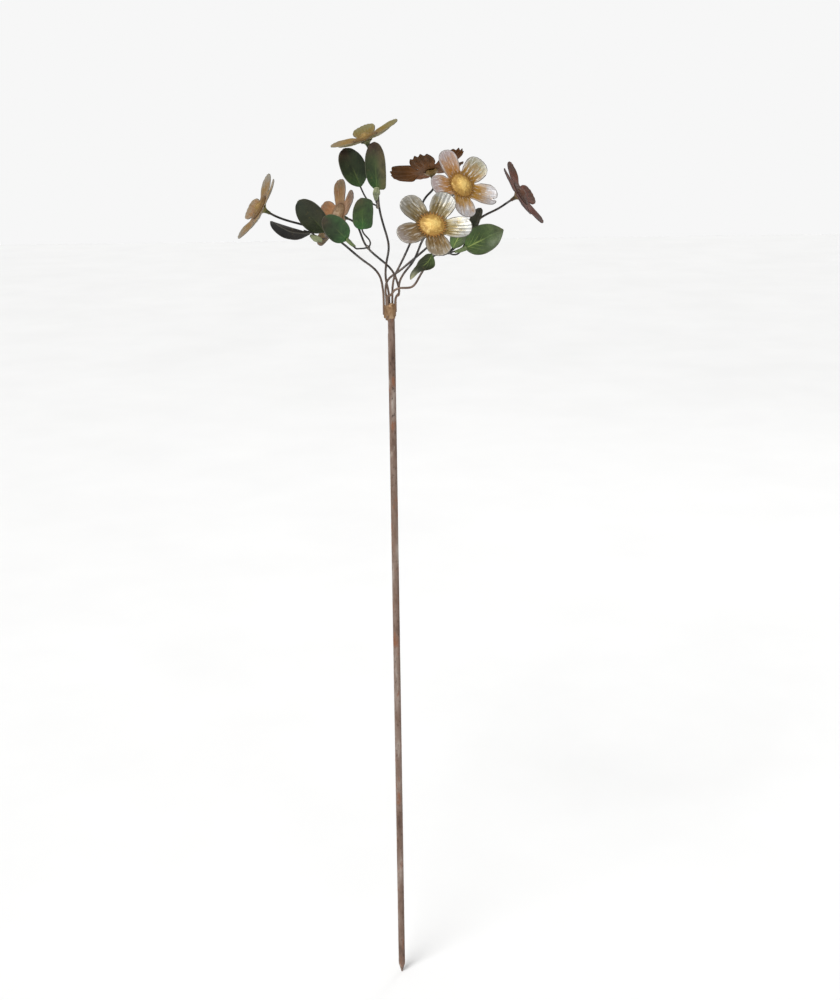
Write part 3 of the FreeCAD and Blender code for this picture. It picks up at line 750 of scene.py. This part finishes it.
def petiole(name, route, widths, facing, tone):
    """Flattened, hollow foot of a leaf, wrapped round its wire stalk."""
    rows, columns = 16, 10
    points, tints = [], []
    facing = Vector(facing).normalized()
    for row in range(rows + 1):
        s = row / rows * (len(route) - 1)
        k = min(int(s), len(route) - 2)
        middle = Vector(route[k]).lerp(Vector(route[k + 1]), s - k)
        heading = (Vector(route[k + 1]) - Vector(route[k])).normalized()
        side = heading.cross(facing).normalized()
        half = through([(j / (len(widths) - 1), w / 2) for j, w in enumerate(widths)], row / rows)
        for column in range(columns + 1):
            t = 2 * column / columns - 1
            lift = 1.6 + 0.25 * rough(row / 4, t, 3.0) - 1.9 * t * t
            points.append(tuple(middle + side * half * t + facing * lift))
            tints.append(srgb(*blend(tone, (112, 122, 88), 0.5 + 0.5 * rough(row / 3, t * 2, 5.0))))
    wide = columns + 1
    faces = [(r * wide + c, r * wide + c + 1, (r + 1) * wide + c + 1, (r + 1) * wide + c)
             for r in range(rows) for c in range(columns)]
    obj = mesh_piece("petiole_" + name, points, faces)
    for key, value in (("along", 0.5), ("across", 0.5), ("edge", 0.3), ("vein", 0.0)):
        floats(obj, key, [value] * len(points))
    colours(obj, "tint", tints)
    thicken(obj, FOOT_SHEET)
    dress(obj, LEAF_GREEN)
    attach(obj, "stand")
    return obj


petiole("upper_right", [(-13, -3.5, 816), (-13.4, -0.5, 810), (-13.9, 4, 806.5), (-13.9, 8.5, 801.5)],
        [5.5, 8.0, 6.0, 3.0], (0.1, -1, 0.35), (164, 168, 136))
petiole("left_inner", [(-46, -7, 763), (-41, -1.5, 757.5), (-37, 5, 753.5)],
        [5.0, 4.4, 2.6], (0.1, -1, 0.4), (96, 118, 66))
petiole("right_broad", [(82, -1, 752), (75, -0.8, 749), (69, -0.6, 747.6)],
        [6.0, 4.6, 2.6], (0.1, -1, 0.4), (96, 116, 66))

petiole("left_low", [(-84.5, -8.8, 767.6), (-79, -5.5, 764.2), (-72, -2.5, 761.6)],
        [3.0, 7.5, 4.0], (0.1, -1, 0.4), (152, 154, 124))

for seed, name in enumerate(LEAVES, start=1):
    leaf(name, seed)

# ---------------------------------------------------------------- rod, wires, stalks
ROD = rusted_rod()
WIRE = dark_wire()
dress(frame["nodes"]["stake_rod"], ROD)
for name, node in frame["nodes"].items():
    if name.startswith(("wire_", "stalk_")):
        dress(node, WIRE)

# ---------------------------------------------------------------- braze and solder
BRAZE = bronze("bronze_braze",
               [srgb(102, 74, 50), srgb(140, 110, 78), srgb(176, 150, 120), srgb(78, 54, 38)], 0.5)
SOLDER = bronze("solder", [srgb(78, 72, 66), srgb(112, 104, 96), srgb(150, 142, 130), srgb(94, 70, 48)], 0.7)
# Where each wire's end stands beside the rod, x and y (mm).
TAILS = [(-7.9, 0), (-1.9, 4.7), (4.6, 2.1), (1.5, 4.9), (-5, 0), (5, -0.9), (-4.1, -2.9)]


def braze():
    """Filler that has run down round the rod and up round each wire."""
    low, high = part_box("braze_joint")
    bottom, top = low.z / MM, high.z / MM
    rings, spokes = 44, 96
    points = []
    for ring in range(rings + 1):
        s = ring / rings
        for spoke in range(spokes):
            a = 2 * math.pi * spoke / spokes
            run = 2.2 * rough(2 * math.cos(a), 2 * math.sin(a), 4.0)
            foot = bottom + 0.3 + 3.2 * (1 - smooth(0.72, 0.94, -math.cos(a))) + abs(run) * 1.3
            z = foot + (top - 0.6 - foot) * s
            shoulder = smooth(top - 0.2, top - 5.0, z)
            body = 4.15 + 1.15 * smooth(0.0, 0.35, s)
            body = body * (0.35 + 0.65 * math.sqrt(shoulder)) + 0.45 * rough(a * 2.5, z / 3.0, 1.0)
            body += 0.35 * rough(a * 6.0, z / 1.4, 9.0)
            reach = [body]
            for x, y in TAILS:
                d, phi = math.hypot(x, y), math.atan2(y, x)
                swell = 1.45 + 0.25 * rough(z / 3.5, x, y)
                across = abs(d * math.sin(a - phi))
                if across < swell and math.cos(a - phi) > 0 and 0.12 < s:
                    hold = smooth(0.10, 0.26, s) * smooth(1.0, 0.80, s)
                    lobe = d * math.cos(a - phi) + math.sqrt(swell ** 2 - across ** 2)
                    reach.append(body + (lobe - body) * hold)
            widest = 8.0 if math.cos(a) < 0 else 5.4    # the CAD solid reaches further on the left
            rho = max(0.2, min(max(reach), widest))
            points.append((rho * math.cos(a), rho * math.sin(a), z))
    faces = []
    for ring in range(rings):
        low_ring, high_ring = ring * spokes, (ring + 1) * spokes
        for k in range(spokes):
            m = (k + 1) % spokes
            faces.append((low_ring + k, low_ring + m, high_ring + m, high_ring + k))
    points.append((0.0, 0.0, top - 0.3))
    last = rings * spokes
    faces += [(last + k, last + (k + 1) % spokes, len(points) - 1) for k in range(spokes)]
    # The underside closes against the rod.
    points.append((0.0, 0.0, bottom + 2.5))
    faces += [((k + 1) % spokes, k, len(points) - 1) for k in range(spokes)]
    obj = mesh_piece("braze_filler", points, faces)
    relax = obj.modifiers.new("settle", "SMOOTH")
    relax.factor = 0.5
    relax.iterations = 2
    return obj


filler = braze()
dress(filler, BRAZE)
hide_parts("braze_joint")
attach(filler, "stand")

# Solder: centre of each lump, the way its wire runs.
LUMPS = [((-12.4, 11.4, 795.8), (0.1, 0.2, 1)), ((-12.5, 11.3, 799.9), (0, 0, 1)),
         ((-24, 17.4, 751.6), (1, -0.4, -1)), ((-67, 4.6, 765.7), (1, 0, -0.5)),
         ((57.5, 4.6, 745), (1, 0.3, 0.1)), ((63.8, 6.8, 746.3), (1, 0.4, 0.3)),
         ((50.6, 1.8, 745.8), (1, 0.2, 0))]

LUMP = (2.15, 3.1)    # half width across the wire and half length along it (mm)


def solder():
    points, faces = [], []
    rings, spokes = 12, 18
    for seed, (centre, heading) in enumerate(LUMPS):
        heading = Vector(heading).normalized()
        turn = heading.to_track_quat("Z", "Y")
        start = len(points)
        for ring in range(rings + 1):
            tilt = math.pi * ring / rings
            for spoke in range(spokes):
                a = 2 * math.pi * spoke / spokes
                flat = math.sin(tilt)
                direction = Vector((flat * math.cos(a), flat * math.sin(a), math.cos(tilt)))
                swell = 1 + 0.16 * rough(*(direction * 1.7), seed + 2.0)
                local = Vector((direction.x * LUMP[0], direction.y * LUMP[0], direction.z * LUMP[1])) * swell
                points.append(tuple(Vector(centre) + turn @ local))
        for ring in range(rings):
            for k in range(spokes):
                a, b = start + ring * spokes + k, start + ring * spokes + (k + 1) % spokes
                faces.append((a, b, b + spokes, a + spokes))
    obj = mesh_piece("solder_beads", points, faces)
    weld = obj.modifiers.new("poles", "WELD")
    weld.merge_threshold = 0.00001
    return obj


beads = solder()
dress(beads, SOLDER)
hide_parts("solder_joints")
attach(beads, "stand")

# ---------------------------------------------------------------- floor, light, camera
scene = bpy.context.scene
ground = cad_low.z
FLOOR_HALF = 9000    # mm
floor = mesh_piece("floor", [(x * FLOOR_HALF, y * FLOOR_HALF, ground / MM)
                             for x, y in ((-1, -1), (1, -1), (1, 1), (-1, 1))], [(0, 1, 2, 3)])
plaster = Nodes("pale_floor")
grain = plaster.noise(3, 4)
plaster.end(plaster.ramp(grain, [(0.3, (0.87, 0.87, 0.865, 1)), (0.7, (0.90, 0.90, 0.895, 1))]),
            0.9, plaster.bump(plaster.noise(60, 3), 0.0005, 0.1))
dress(floor, plaster.material)

scene.view_settings.view_transform = "Standard"
world = bpy.data.worlds.new("studio")
world.use_nodes = True
sky = world.node_tree
height = sky.nodes.new("ShaderNodeSeparateXYZ")
sky.links.new(sky.nodes.new("ShaderNodeTexCoord").outputs["Generated"], height.inputs["Vector"])
fade = sky.nodes.new("ShaderNodeMapRange")
fade.interpolation_type = "SMOOTHSTEP"
for key, number in (("From Min", 0.10), ("From Max", 0.50), ("To Min", 0.93), ("To Max", 0.45)):
    fade.inputs[key].default_value = number
sky.links.new(height.outputs["Z"], fade.inputs["Value"])
sky.links.new(fade.outputs["Result"], sky.nodes["Background"].inputs["Strength"])
sky.nodes["Background"].inputs["Color"].default_value = (1.0, 1.0, 1.0, 1)
scene.world = world


def soft_light(name, place, target, size, power):
    data = bpy.data.lights.new(name, "AREA")
    data.shape = "DISK"
    data.size = size
    data.energy = power
    light = bpy.data.objects.new(name, data)
    scene.collection.objects.link(light)
    light.location = place
    light.rotation_mode = "QUATERNION"
    light.rotation_quaternion = (Vector(target) - Vector(place)).to_track_quat("-Z", "Y")


soft_light("key", (-1.3, -2.0, 2.6), (0, 0, 0.8), 0.9, 9)
soft_light("rim", (1.2, 2.0, 2.4), (0, 0, 0.8), 1.0, 8)
sun = bpy.data.objects.new("sun", bpy.data.lights.new("sun", "SUN"))
scene.collection.objects.link(sun)
sun.data.energy = 2.3
sun.data.angle = math.radians(30)
sun.rotation_mode = "QUATERNION"
sun.rotation_quaternion = Vector((0.45, 0.75, -1.0)).to_track_quat("-Z", "Y")

CAMERA_PLACE = Vector((0, -1.462, 0.909))
yaw, pitch, roll = math.radians(1.14), math.radians(16.7), math.radians(-0.62)
ahead = Vector((math.sin(yaw) * math.cos(pitch), math.cos(yaw) * math.cos(pitch), -math.sin(pitch)))
level = Vector((math.cos(yaw), -math.sin(yaw), 0))
above = level.cross(ahead)
camera = bpy.data.objects.new("camera", bpy.data.cameras.new("camera"))
scene.collection.objects.link(camera)
camera.data.lens = 48.6
camera.data.sensor_width = 36
camera.matrix_world = axes(CAMERA_PLACE, math.cos(roll) * level + math.sin(roll) * above,
                           math.cos(roll) * above - math.sin(roll) * level, -ahead)
scene.camera = camera
